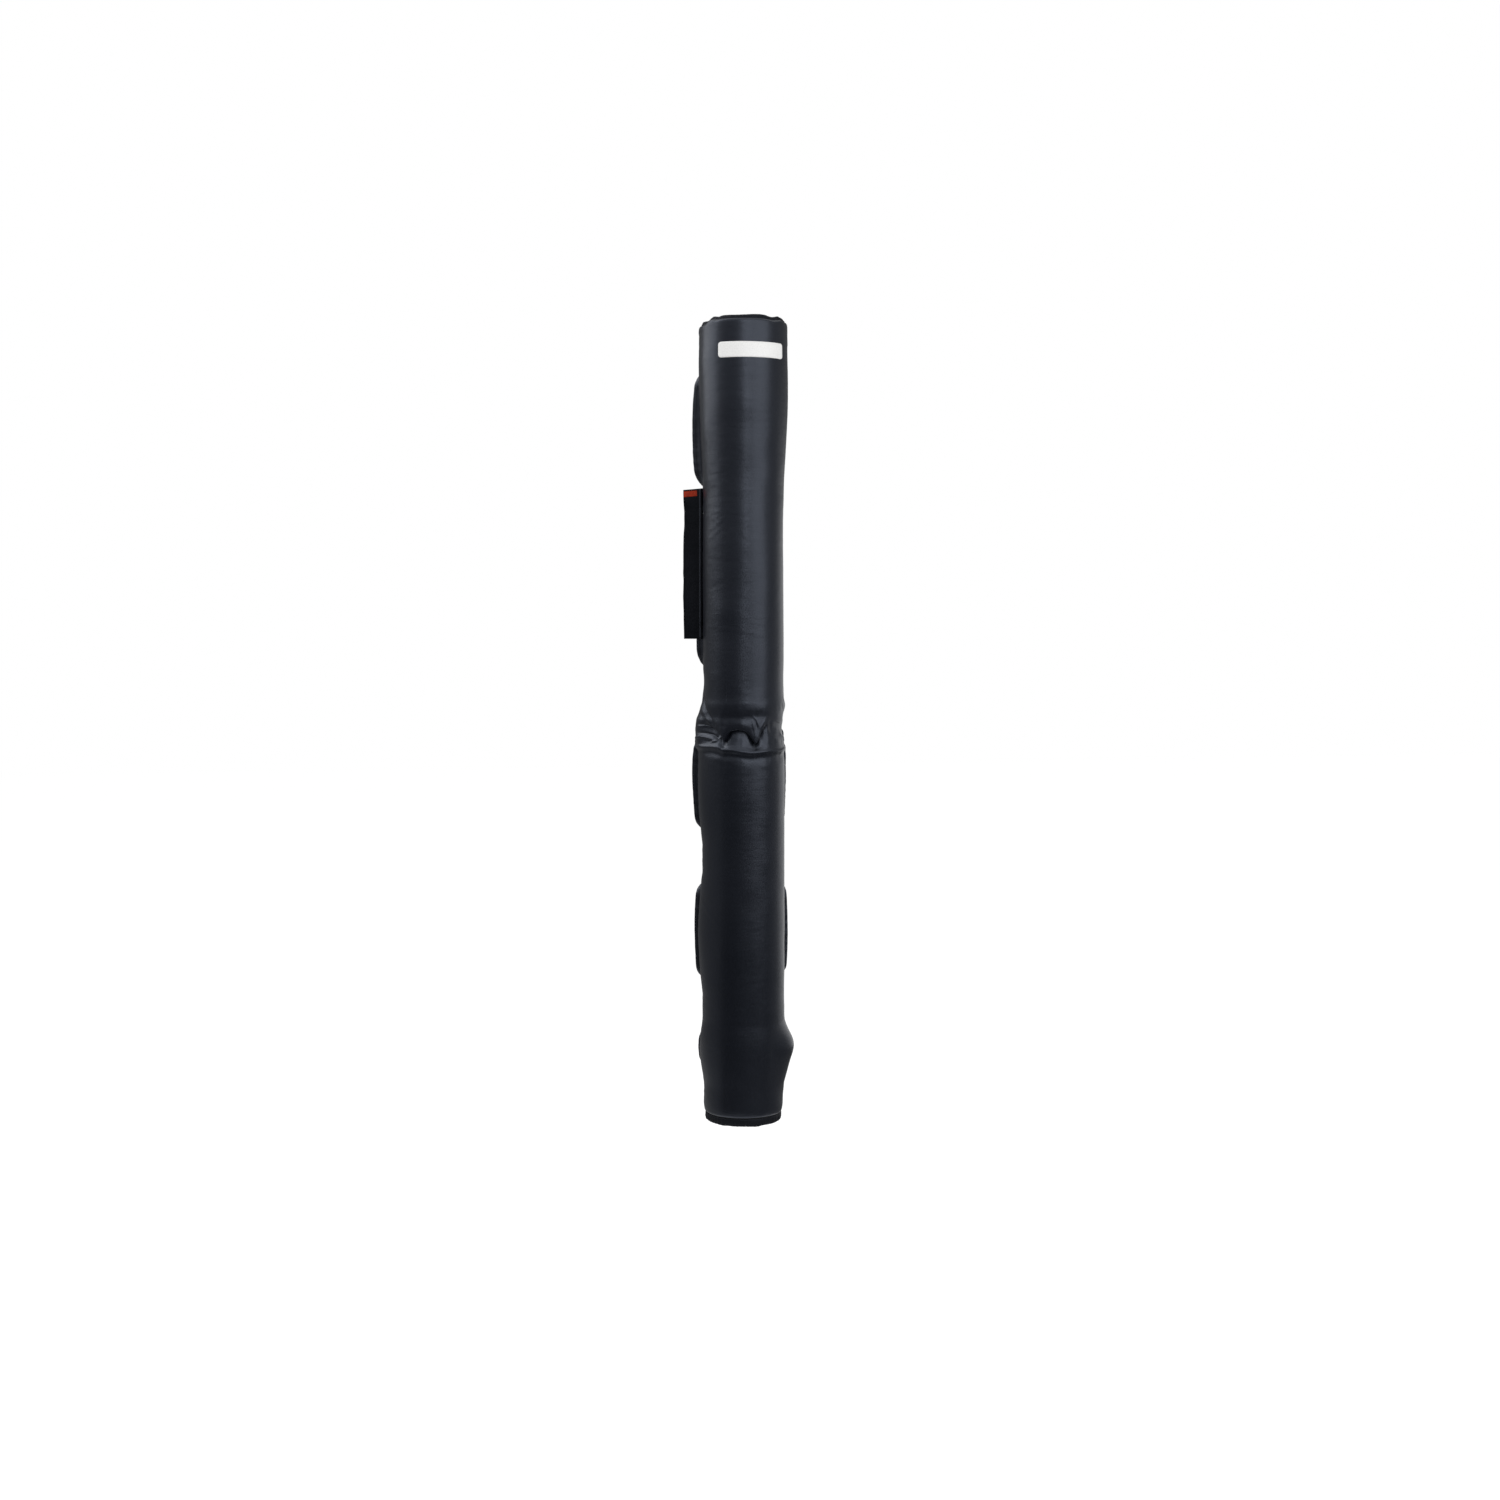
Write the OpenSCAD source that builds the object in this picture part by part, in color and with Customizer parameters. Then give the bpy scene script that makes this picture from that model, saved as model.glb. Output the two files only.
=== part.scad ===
// Padded sleeve for the round pole of a goal. It wraps the front and sides of the pole
// and closes behind it with pairs of hook and loop straps.
// The origin is on the pole's axis at the sleeve's lower edge, +Z is up, -Y is the front.

/* [Pole and sleeve] */
// Diameter of the pole that the sleeve wraps
pole_d = 88.9; // [70:0.1:110]
// Height of the sleeve over its hems
pad_h = 1219; // [1000:1:1400]
// Angle from the front to each long edge
wrap = 108; // [100:1:114]
// Thickness of the padding under a strap, over its lining and cover
pad_t = 16.5; // [14:0.5:24]
/* [Sheets] */
// Thickness of the vinyl cover
cover_t = 1.2; // [0.8:0.1:1.6]
// Thickness of the lining
lining_t = 1; // [0.6:0.1:1.5]
// Clearance between the pole and the lining
pole_clear = 0.05; // [0:0.01:0.15]
// Clearance between sheets and what lies against them
layer_gap = 0.3; // [0.2:0.05:0.4]
/* [Fold] */
// Height of the fold where the sleeve was halved for packing
fold_z = 594; // [560:1:620]
// Space between the two foam blocks at the fold
fold_gap = 36; // [30:1:44]
// Depth of the valley in the cover at the fold
fold_depth = 7; // [3:0.5:8]
// Height of the rim that stands out below the fold
rim_h = 2.5; // [0:0.5:4]
/* [Hems] */
// Width of the hems down the long edges
side_hem_w = 13; // [9:0.5:16]
// Height of the hem round the top
top_hem_h = 7; // [5:0.5:10]
// Height of the hem round the bottom
bottom_hem_h = 14; // [9:0.5:16]
// Thickness of a folded hem
hem_t = 2.4; // [1.6:0.1:3]
/* [Straps] */
// Width of the straps
strap_w = 38; // [25:1:44]
// Thickness of the webbing
strap_t = 1.4; // [1:0.1:2]
// Thickness of each hook or loop tape
tape_t = 1.2; // [0.8:0.1:1.6]
// Length of the hook and loop tapes
tape_len = 31; // [20:1:34]
// Clearance between a tape and the strap that it is sewn to
sew_gap = 0.1; // [0.05:0.05:0.2]
// Clearance between the pole's place and the inner straps
strap_clear = 0.5; // [0.3:0.1:1]
/* [Patch] */
// Length of the blank patch round the front
patch_w = 109; // [60:1:120]
// Height of the patch
patch_h = 23; // [15:1:26]
// Thickness of the patch
patch_t = 0.6; // [0.4:0.1:1]
// Corner radius of the patch
patch_corner = 5; // [2:0.5:7]
// Height of the patch's centre below the upper edge
patch_drop = 52; // [40:1:56]
// Angle of the patch's centre from the front
patch_turn = 3.2; // [0:0.1:10]
/* [Side tag] */
// Width of the tag
tag_w = 24; // [16:1:26]
// Length of the tag
tag_len = 228; // [120:1:260]
// Thickness of the tag
tag_t = 0.8; // [0.6:0.1:1.2]
// Height of the tag's upper end below the sleeve's upper edge
tag_drop = 251; // [200:1:280]

/* [Hidden] */
$fn = 128;

vinyl = [0.14, 0.145, 0.17];
webbing = [0.07, 0.07, 0.08];
felt = [0.16, 0.16, 0.17];
foam = [0.86, 0.86, 0.83];

// Radii of the layers where a strap draws the sleeve in
bore_r = pole_d / 2 + pole_clear;
foam_r = bore_r + lining_t + layer_gap;
drawn_r = bore_r + pad_t;
seam_drop = 2.5;
seam_r = drawn_r - seam_drop;

// Heights of the seams that close the two ends
low_seam = bottom_hem_h;
high_seam = pad_h - top_hem_h;

// Places of the straps up the sleeve, as shares of its height, lowest first
strap_share = [0.03, 0.144, 0.332, 0.537, 0.764, 0.971];
strap_edge = 2;
strap_flat = strap_w / 2 + 2;
strap_end = strap_w / 2 + strap_edge;
function strap_z(k) = min(pad_h - strap_end, max(strap_end, strap_share[k] * pad_h));

// How much further out than drawn_r the front lies at each strap, and at the middle of each span
strap_swell = [0, 2, 1.5, 0.5, -0.3, 5.5];
span_swell = [2, 0.4, 1, 0, 0.5];
// How far the two sides bulge at the middle of each span
left_bulge = [3, 6.8, 7, 0, 0.5];
right_bulge = [6, 0, 0, 0, 2.5];
// How far the seams along the two long edges spring outwards at the middle of each span
left_bow = [3, 4.5, 7, 1.5, 6];
right_bow = [6, 5, 3.5, 0.3, 2];
// Flare of the side hems at the middle of each span, from the tangent, in degrees
left_flare = [50, 84, 84, 80, 84];
right_flare = [74, 110, 88, 20, 45];
left_side = -1;
right_side = 1;

function smooth(t) = let (c = min(1, max(0, t))) c * c * (3 - 2 * c);
function mix(a, b, t) = a + (b - a) * t;
// Index of the span that height z lies in, and how far up the free stretch of that span it lies
function span(z) = min(4, max(0, len([for (k = [0:5]) if (strap_z(k) < z) k]) - 1));
function share_up(z) = let (k = span(z), low = strap_z(k) + strap_flat)
    min(1, max(0, (z - low) / (strap_z(k + 1) - strap_flat - low)));
function hump(z) = sin(180 * share_up(z));
function bow(z, side) = hump(z) * (side < 0 ? left_bow : right_bow)[span(z)];
function bulge(z, side) = hump(z) * (side < 0 ? left_bulge : right_bulge)[span(z)];
function swell(z) = let (k = span(z))
    mix(strap_swell[k], strap_swell[k + 1], smooth(share_up(z))) + span_swell[k] * hump(z);
function seam_out(z, side) = seam_r + bow(z, side);

// Outer radius of the cover at angle a from the front and height z
edge_roll = 9;
bulge_start = 45;
low_roll = 16;
high_roll = 6;
high_drop = 1.5;
low_drop = 2.5;
fold_w = 9;
rim_below = 22;
rim_w = 12;
fold_sink = 4;
fold_arch = 12;
fold_tilt = 5;
function round_over(t) = let (c = 1 - min(1, max(0, t))) sqrt(1 - c * c);
function fold_at(a) = fold_z - fold_sink + fold_arch * (1 - cos(a)) - fold_tilt * sin(a);
function fold(a, z) = rim_h * exp(-pow((z - fold_z + rim_below) / rim_w, 2))
    - fold_depth * exp(-pow((z - fold_at(a)) / fold_w, 2));
function body_r(a, z) = drawn_r + swell(z)
    + bulge(z, a) * smooth((abs(a) - bulge_start) / (wrap - bulge_start));
function ends(z) = low_drop * (1 - round_over((z - low_seam) / low_roll))
    + high_drop * (1 - round_over((high_seam - z) / high_roll));
function skin_r(a, z) = let (r = body_r(a, z) + fold(a, z), s = seam_out(z, a))
    mix(s, r, round_over((wrap - abs(a)) / edge_roll)) - ends(z);

// Heights where the sleeve's form is set out, in order
function sorted(v) = len(v) < 2 ? v : let (p = v[0])
    concat(sorted([for (x = v) if (x < p) x]), [p], sorted([for (x = v) if (x > p) x]));
span_rows = [[0.3, 0.7], [0.2, 0.5, 0.8], [0.25], [0.25, 0.6], [0.25, 0.5, 0.75]];
low_rows = [0, 2, 7, low_roll];
fold_rows = [-42, -28, -20, -12, -5, 1, 7, 14, 28];
rows = sorted(concat(
    [for (d = low_rows) low_seam + d],
    [for (k = [0:4]) for (s = span_rows[k]) mix(strap_z(k) + strap_flat, strap_z(k + 1) - strap_flat, s)],
    [for (k = [0:4]) strap_z(k) + strap_flat],
    [for (k = [1:5]) strap_z(k) - strap_flat],
    [for (d = fold_rows) fold_z + d],
    [high_seam - high_roll, high_seam]
));
side_columns = [0.14, 0.28, 0.42, 0.56, 0.7, 0.83, 0.94, 1];
columns = concat([for (i = [7:-1:0]) -side_columns[i] * wrap], [0], side_columns * wrap);

// A point at radius r, angle a from the front and height z
function at(r, a, z) = [r * sin(a), -r * cos(a), z];

// Solid through equal closed loops of points, each loop a strip that is folded back on itself.
// The two faces of the strip are split along the same diagonals, so that they never cross
module ribbon(loops) {
    n = len(loops[0]);
    last = (len(loops) - 1) * n;
    sides = [for (j = [0:len(loops) - 2]) for (i = [0:n - 1])
        let (a = j * n + i, b = j * n + (i + 1) % n)
            each i < n / 2 ? [[a, b + n, b], [a, a + n, b + n]] : [[a, a + n, b], [b, a + n, b + n]]];
    caps = [for (i = [0:n / 2 - 2]) each [
        [i, i + 1, n - 2 - i], [i, n - 2 - i, n - 1 - i],
        [last + i, last + n - 2 - i, last + i + 1], [last + i, last + n - 1 - i, last + n - 2 - i]]];
    polyhedron([for (l = loops) each l], concat(sides, caps));
}

// Vinyl skin: swollen between the straps, drawn in under them and dented at the fold
module cover() {
    color(vinyl)
    ribbon([for (z = rows) concat(
        [for (a = columns) at(skin_r(a, z), a, z)],
        [for (i = [len(columns) - 1:-1:0]) at(skin_r(columns[i], z) - cover_t, columns[i], z)]
    )]);
}

// Ring sector centred on the front, turned from a profile in radius and height
module turned(half) {
    rotate([0, 0, -90 - half]) rotate_extrude(angle = 2 * half) children();
}

module block(r_in, r_out, z_low, z_high) {
    translate([r_in, z_low]) square([r_out - r_in, z_high - z_low]);
}

// Lining: inner wall over the whole height, a lip over each end of the foam and a wall
// along each edge
wall_out = seam_r - cover_t - layer_gap;
wall_in = bore_r + lining_t / 2;
wall_low = low_seam - layer_gap - lining_t / 2;
wall_high = high_seam + layer_gap + lining_t / 2;
module lip(z_seam, z) {
    block(bore_r, skin_r(0, z_seam) - cover_t, z, z + lining_t);
}

module lining() {
    color(felt) {
        turned(wrap - lining_t / bore_r * 90 / PI) {
            block(bore_r, bore_r + lining_t, 0, pad_h);
            lip(low_seam, low_seam - layer_gap - lining_t);
            lip(high_seam, high_seam + layer_gap);
        }
        for (side = [left_side, right_side])
            rotate([0, 0, side * wrap - 90])
                translate([0, side > 0 ? 0 : lining_t, 0])
                    rotate([90, 0, 0]) linear_extrude(lining_t) polygon([
                        [wall_in, wall_low], [wall_out - low_drop, wall_low],
                        [wall_out, low_seam + low_roll], [wall_out, high_seam - high_roll],
                        [wall_out - high_drop, wall_high], [wall_in, wall_high]
                    ]);
    }
}

// Foam block between two heights, under the cover's own swelling
foam_slack = 1;
foam_inset = 6.6;
foam_nose = 10;
fold_cut = 5;
function foam_out(z) = drawn_r + swell(z) - cover_t - foam_slack;
module foam_block(z_low, z_high, low_cut, high_cut) {
    ends = [z_low + foam_nose, z_high - foam_nose];
    steps = [for (z = rows) if (z > ends[0] && z < ends[1] && abs(z - fold_z) > rim_below) z];
    turned(wrap - foam_inset)
        polygon(concat(
            [[foam_r, z_low], [foam_out(z_low) - low_cut, z_low]],
            [for (z = concat([ends[0]], steps, [ends[1]])) [foam_out(z), z]],
            [[foam_out(z_high) - high_cut, z_high], [foam_r, z_high]]
        ));
}

module foam_upper() {
    color(foam) foam_block(fold_z + fold_gap / 2, high_seam - layer_gap, fold_cut, high_drop);
}

module foam_lower() {
    color(foam) foam_block(low_seam + layer_gap, fold_z - fold_gap / 2, low_drop, fold_cut);
}

// Hems round the two ends: folded strips that wave a little
hem_steps = 30;
slow_waves = 3.1;
quick_waves = 7.3;
quick_share = 0.6;
top_ripple = 0.8;
bottom_ripple = 0.5;
bottom_lean = 0.5;
function wave(a, size) =
    size * (sin(slow_waves * a) + quick_share * sin(quick_waves * a)) / (1 + quick_share);
module end_hem(seam_z, tip_z, r_out, lean, ripple) {
    up = tip_z > seam_z;
    ribbon([for (i = [0:hem_steps]) let (
        a = mix(-wrap, wrap, i / hem_steps), w = wave(a, ripple), r = r_out - lean + w,
        tip = up ? tip_z + w - ripple : tip_z,
        loop = [at(r_out, a, seam_z), at(r_out - hem_t, a, seam_z), at(r - hem_t, a, tip), at(r, a, tip)])
        up ? loop : [loop[3], loop[2], loop[1], loop[0]]]);
}

lip_out = 2 * layer_gap + lining_t;
module top_hem() {
    color(vinyl) end_hem(high_seam + lip_out, pad_h, skin_r(0, high_seam), hem_t, top_ripple);
}

module bottom_hem() {
    color(vinyl)
        end_hem(low_seam - lip_out, 0, skin_r(0, low_seam), bottom_lean, bottom_ripple);
}

// Side hems: from the lining's wall out to the seam, then a free strip that a strap pulls in
hem_gap = hem_t / 2 + layer_gap;
hem_root = bore_r + lining_t;
hem_turn = wrap + asin(hem_gap / hem_root);
loop_in = bore_r + strap_clear;
hook_in = loop_in + strap_t + 2 * (sew_gap + tape_t) + layer_gap;
function pull(strap_in) = -acos((strap_in - hem_gap) / seam_r);
left_pull = pull(hook_in);
right_pull = pull(loop_in);
// A hem turns out to its full flare soon after a strap, and keeps it over most of the span
hem_snap = 1.6;
function hem_lean(z, side) = mix(side < 0 ? left_pull : right_pull,
    (side < 0 ? left_flare : right_flare)[span(z)], smooth(hem_snap * hump(z)));
// Unit vector at angle b outwards from the tangent that leads on round the sleeve
function off_tangent(side, b) = let (d = hem_turn - b) [side * cos(d), sin(d), 0];
hem_turning = [0, 0.04, 0.08, 0.12, 0.16, 0.2, 0.3];
hem_shares = concat(hem_turning, [0.5], [for (i = [len(hem_turning) - 1:-1:0]) 1 - hem_turning[i]]);
hem_rows = concat([0], [for (k = [0:4], t = hem_shares)
    mix(strap_z(k) + strap_flat, strap_z(k + 1) - strap_flat, t)], [pad_h]);
module side_hem(side) {
    function mid(z) = let (s = seam_out(z, side), p = at(s, side * hem_turn, z))
        [at(hem_root, side * hem_turn, z), p, p + side_hem_w * off_tangent(side, hem_lean(z, side))];
    function square_to(v) = let (u = v / norm(v)) [-u[1], u[0], 0];
    loops = [for (z = hem_rows) let (
        m = mid(z), n0 = square_to(m[1] - m[0]), n2 = square_to(m[2] - m[1]),
        n1 = (n0 + n2) / (1 + n0 * n2), h = side * hem_t / 2)
        [m[0] + h * n0, m[1] + h * n1, m[2] + h * n2, m[2] - h * n2, m[1] - h * n1, m[0] - h * n0]];
    ribbon([for (l = loops) [for (i = side > 0 ? [5:-1:0] : [0:5]) l[i]]]);
}

module left_hem() {
    color(vinyl) side_hem(left_side);
}

module right_hem() {
    color(vinyl) side_hem(right_side);
}

// Blank patch on the front, with round corners
corner_cut = 1.01;
module patch() {
    z_mid = pad_h - patch_drop;
    r_in = skin_r(0, z_mid) + layer_gap;
    half = patch_w / r_in * 90 / PI;
    corner = patch_corner / r_in * 180 / PI;
    color([0.9, 0.9, 0.88])
    rotate([0, 0, patch_turn])
    translate([0, 0, z_mid]) {
        turned(half - corner) block(r_in, r_in + patch_t, -patch_h / 2, patch_h / 2);
        turned(half) block(r_in, r_in + patch_t, patch_corner - patch_h / 2, patch_h / 2 - patch_corner);
        for (side = [-1, 1], end = [-1, 1]) intersection() {
            turned(half) block(r_in, r_in + patch_t, -patch_h / 2, patch_h / 2);
            rotate([0, 0, side * (half - corner)]) translate([0, 0, end * (patch_h / 2 - patch_corner)])
                rotate([90, 0, 0]) cylinder(h = 2 * r_in, r = corner_cut * patch_corner);
        }
    }
}

// Soft tag sewn in the left seam, which stands out to the side
tag_lean = 98;
tag_clear = 3;
tag_sink = 1.5;
tag_steps = 12;
tag_curl = 1.2;
curl_turn = 400;
edge_wave = 1;
edge_turn = 330;
module side_tag() {
    low = pad_h - tag_drop - tag_len;
    root = at(seam_r + tag_clear, left_side * (hem_turn - tag_sink), low);
    out = off_tangent(left_side, tag_lean);
    across = [-out[1], out[0], 0];
    h = tag_t / 2 * across;
    color([0.09, 0.09, 0.1])
    ribbon([for (i = [0:tag_steps]) let (
        up = i / tag_steps, curl = tag_curl * sin(up * curl_turn),
        reach = tag_w - edge_wave * (1 - cos(up * edge_turn)), p = root + [0, 0, tag_len * up],
        q = p + reach / 2 * out + curl / 2 * across, r = p + reach * out + curl * across)
        [p - h, q - h, r - h, r + h, q + h, p + h]]);
}

// Straps: a straight stretch off the hem, then an arc round the back of the pole
root_inset = 1.5;
function straight(strap_in) = sqrt(pow(seam_r, 2) - pow(strap_in - hem_gap, 2)) - root_inset;
// Angle from the back to where the straight stretch meets the arc
function meet(strap_in) = 180 - hem_turn + pull(strap_in);
tape_half = tape_len / hook_in * 90 / PI;
tape_end = 2.4;
overlap_mid = meet(loop_in) - tape_half - tape_end;
hook_tab = 6;
loop_tab = 3;

// Ring sector round the pole's back between two angles from the back, on the right of it
module back_arc(r_in, t, from, to, w) {
    rotate([0, 0, 90 - to]) rotate_extrude(angle = to - from) translate([r_in, -w / 2]) square([t, w]);
}

// Webbing that leaves the hem on the right and ends at the angle tip from the back
module webbing_right(strap_in, tip) {
    turn = meet(strap_in);
    back_arc(strap_in, strap_t, tip, turn, strap_w);
    free = straight(strap_in);
    rotate([0, 0, 90 - turn])
        translate([strap_in, -free, -strap_w / 2]) cube([strap_t, free, strap_w]);
}

tape_margin = 2;
module tape(r_in) {
    back_arc(r_in, tape_t, overlap_mid - tape_half, overlap_mid + tape_half, strap_w - tape_margin);
}

module hook_strap(k) {
    translate([0, 0, strap_z(k)]) color(webbing)
        mirror([1, 0, 0]) webbing_right(hook_in, -overlap_mid - tape_half - hook_tab);
}

module hook_tape(k) {
    translate([0, 0, strap_z(k)]) color(felt) tape(hook_in - sew_gap - tape_t);
}

module loop_strap(k) {
    translate([0, 0, strap_z(k)]) color(webbing)
        webbing_right(loop_in, overlap_mid - tape_half - loop_tab);
}

module loop_tape(k) {
    translate([0, 0, strap_z(k)]) color(felt) tape(loop_in + strap_t + sew_gap);
}

cover();
lining();
foam_upper();
foam_lower();
top_hem();
bottom_hem();
left_hem();
right_hem();
patch();
side_tag();
hook_strap(0);  // hook_strap_1
hook_strap(1);  // hook_strap_2
hook_strap(2);  // hook_strap_3
hook_strap(3);  // hook_strap_4
hook_strap(4);  // hook_strap_5
hook_strap(5);  // hook_strap_6
hook_tape(0);  // hook_tape_1
hook_tape(1);  // hook_tape_2
hook_tape(2);  // hook_tape_3
hook_tape(3);  // hook_tape_4
hook_tape(4);  // hook_tape_5
hook_tape(5);  // hook_tape_6
loop_strap(0);  // loop_strap_1
loop_strap(1);  // loop_strap_2
loop_strap(2);  // loop_strap_3
loop_strap(3);  // loop_strap_4
loop_strap(4);  // loop_strap_5
loop_strap(5);  // loop_strap_6
loop_tape(0);  // loop_tape_1
loop_tape(1);  // loop_tape_2
loop_tape(2);  // loop_tape_3
loop_tape(3);  // loop_tape_4
loop_tape(4);  // loop_tape_5
loop_tape(5);  // loop_tape_6
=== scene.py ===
import math

import bpy
import numpy as np
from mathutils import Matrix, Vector


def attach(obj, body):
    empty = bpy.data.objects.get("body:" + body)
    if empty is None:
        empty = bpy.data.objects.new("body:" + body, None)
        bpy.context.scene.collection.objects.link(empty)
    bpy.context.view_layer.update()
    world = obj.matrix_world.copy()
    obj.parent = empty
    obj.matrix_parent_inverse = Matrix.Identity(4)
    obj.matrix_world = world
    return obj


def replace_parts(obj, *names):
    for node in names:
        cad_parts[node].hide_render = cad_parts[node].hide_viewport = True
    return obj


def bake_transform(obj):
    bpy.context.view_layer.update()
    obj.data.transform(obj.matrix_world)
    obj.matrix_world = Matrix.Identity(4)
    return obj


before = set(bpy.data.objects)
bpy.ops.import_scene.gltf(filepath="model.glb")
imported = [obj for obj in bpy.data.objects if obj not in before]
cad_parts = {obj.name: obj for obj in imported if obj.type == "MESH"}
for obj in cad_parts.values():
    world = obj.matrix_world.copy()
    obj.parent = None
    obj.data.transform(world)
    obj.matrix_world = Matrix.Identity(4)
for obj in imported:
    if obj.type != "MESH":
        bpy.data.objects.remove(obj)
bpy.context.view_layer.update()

scene = bpy.context.scene

# Camera, in metres and degrees: at the photograph's angle, a little left of the sleeve's front
CAM_TURN, CAM_PITCH = -10, 4.18
CAM_DIST, CAM_HEIGHT, CAM_SHIFT = 3.0, 0.79, 0.0102
FOCAL_PIXELS, PICTURE_PIXELS, SENSOR = 1971, 1500, 36


def place_camera():
    turn = math.radians(CAM_TURN)
    stand = Vector((math.sin(turn) * CAM_DIST, -math.cos(turn) * CAM_DIST, CAM_HEIGHT))
    right = Vector((math.cos(turn), math.sin(turn), 0))
    cam = bpy.data.objects.new("camera", bpy.data.cameras.new("camera"))
    scene.collection.objects.link(cam)
    cam.data.lens = FOCAL_PIXELS / PICTURE_PIXELS * SENSOR
    cam.data.sensor_width = SENSOR
    cam.data.clip_start, cam.data.clip_end = 0.05, 60
    cam.location = stand + right * CAM_SHIFT
    cam.rotation_euler = (math.pi / 2 - math.radians(CAM_PITCH), 0, turn)
    scene.camera = cam
    scene.view_settings.view_transform = "Standard"


place_camera()

# Sizes in millimetres, as in the part's source. Angles are in degrees from the sleeve's front
PAD_H = 1219.0
# The sleeve reaches this far round the pole each way
WRAP = 108.0
BORE_R, LINING_T = 44.5, 1.0
# Outer radius where a strap draws the sleeve in, and at its long seams
DRAWN_R, SEAM_R = 61.0, 58.5
LOW_SEAM, HIGH_SEAM = 14.0, 1212.0

# Straps, counted from the lowest, and the stretch beside each that it holds flat
STRAP_W, STRAP_T, STRAP_CLEAR = 38.0, 1.4, 0.5
TAPE_T, TAPE_LEN, SEW_GAP, TAPE_GAP = 1.2, 31.0, 0.1, 0.3
STRAP_Z = [PAD_H * share for share in (0.03, 0.144, 0.332, 0.537, 0.764, 0.971)]
STRAP_FLAT = 21.0
LOOP_IN = BORE_R + STRAP_CLEAR
HOOK_IN = LOOP_IN + STRAP_T + 2 * (SEW_GAP + TAPE_T) + TAPE_GAP
# A strap's sewn root reaches this far past its hinge line and stays with the sleeve
STRAP_ROOT = 2.0

# How far the sleeve swells out: at each strap, and in each span between two straps
STRAP_SWELL = np.array([0, 2, 1.5, 0.5, -0.3, 5.5])
SPAN_SWELL = np.array([2, 0.4, 1, 0, 0.5])
LEFT_BULGE, RIGHT_BULGE = [3, 6.8, 7, 0, 0.5], [6, 0, 0, 0, 2.5]
# How far each long seam bows out in each span, and the angle to which its hem flares
LEFT_BOW, RIGHT_BOW = [3, 4.5, 7, 1.5, 6], [6, 5, 3.5, 0.3, 2]
LEFT_FLARE, RIGHT_FLARE = [50, 84, 84, 80, 84], [74, 110, 88, 20, 45]

HEM_T, HEM_W, HEM_GAP = 2.4, 13.0, 1.5
HEM_TURN = WRAP + math.degrees(math.asin(HEM_GAP / (BORE_R + LINING_T)))

PATCH_W, PATCH_H, PATCH_CORNER = 109.0, 23.0, 5.0
PATCH_Z, PATCH_TURN = PAD_H - 52, 3.2

TAG_LEN, TAG_W, TAG_TOP = 228.0, 31.0, PAD_H - 251
TAG_LOW = TAG_TOP - TAG_LEN


def smooth(t):
    """Ease from 0 to 1, flat at both ends."""
    t = np.clip(t, 0, 1)
    return t * t * (3 - 2 * t)


def mix(a, b, t):
    return a + (b - a) * t


def hill(x, middle, width):
    """A smooth hill of height 1."""
    return np.exp(-(((x - middle) / width) ** 2))


def round_over(t):
    """A quarter circle from 0 up to 1."""
    c = 1 - np.clip(t, 0, 1)
    return np.sqrt(1 - c * c)


def at(r, a, z):
    """Points at a radius, an angle from the front and a height."""
    t = np.radians(a)
    r, t, z = np.broadcast_arrays(r, t, z)
    return np.stack([r * np.sin(t), -r * np.cos(t), z], axis=-1)


def spaced(*stretches):
    """Heights or angles with their own spacing over each stretch: (from, to, step)."""
    out = []
    for low, high, step in stretches:
        n = max(1, round((high - low) / step))
        out += [low + (high - low) * i / n for i in range(n)]
    return np.array(out + [stretches[-1][1]])


class Noise:
    """Smooth repeatable noise on a grid of seeded numbers, about -1 to 1."""

    CELLS = 256

    def __init__(self, seed):
        self.grid = np.random.RandomState(seed).uniform(-1, 1, (self.CELLS, self.CELLS))

    def corner(self, i, j):
        return self.grid[i % self.CELLS, j % self.CELLS]

    def __call__(self, x, y):
        x0, y0 = np.floor(x).astype(int), np.floor(y).astype(int)
        fx, fy = smooth(x - x0), smooth(y - y0)
        low = mix(self.corner(x0, y0), self.corner(x0 + 1, y0), fx)
        high = mix(self.corner(x0, y0 + 1), self.corner(x0 + 1, y0 + 1), fx)
        return mix(low, high, fy)

    def line(self, x, track):
        """Noise along one line of the grid."""
        return self(x, x * 0 + track)


n1, n2, n3, n4 = Noise(1), Noise(2), Noise(3), Noise(4)


# The sleeve's form, as radius over angle and height
def span(z):
    """Which span between two straps a height lies in."""
    return np.clip(np.searchsorted(STRAP_Z, z) - 1, 0, 4)


def share_up(z):
    """How far up its span a height lies, from the strap below to the strap above."""
    k = span(z)
    straps = np.array(STRAP_Z)
    low = straps[k] + STRAP_FLAT
    return np.clip((z - low) / (straps[k + 1] - STRAP_FLAT - low), 0, 1)


def hump(z):
    return np.sin(np.pi * share_up(z))


def by_side(z, a, left, right):
    return hump(z) * np.where(a < 0, np.array(left)[span(z)], np.array(right)[span(z)])


def swell(z):
    k = span(z)
    return mix(STRAP_SWELL[k], STRAP_SWELL[k + 1], smooth(share_up(z))) + SPAN_SWELL[k] * hump(z)


def seam_out(z, side):
    """Radius of a long seam."""
    return SEAM_R + by_side(z, side, LEFT_BOW, RIGHT_BOW)


def low_right_bulge(a, z):
    """The padding's lower end presses the skin out at the right, above the lowest strap."""
    return (8.0 * hill(z, 116, 22) + 4.0 * hill(z, 85, 38)) * smooth((a - 32) / 42)


def body_r(a, z):
    """Radius of the sleeve without its creases and wrinkles."""
    bulge = by_side(z, a, LEFT_BULGE, RIGHT_BULGE) * smooth((np.abs(a) - 45) / (WRAP - 45))
    return DRAWN_R + swell(z) + bulge + low_right_bulge(a, z)


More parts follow.
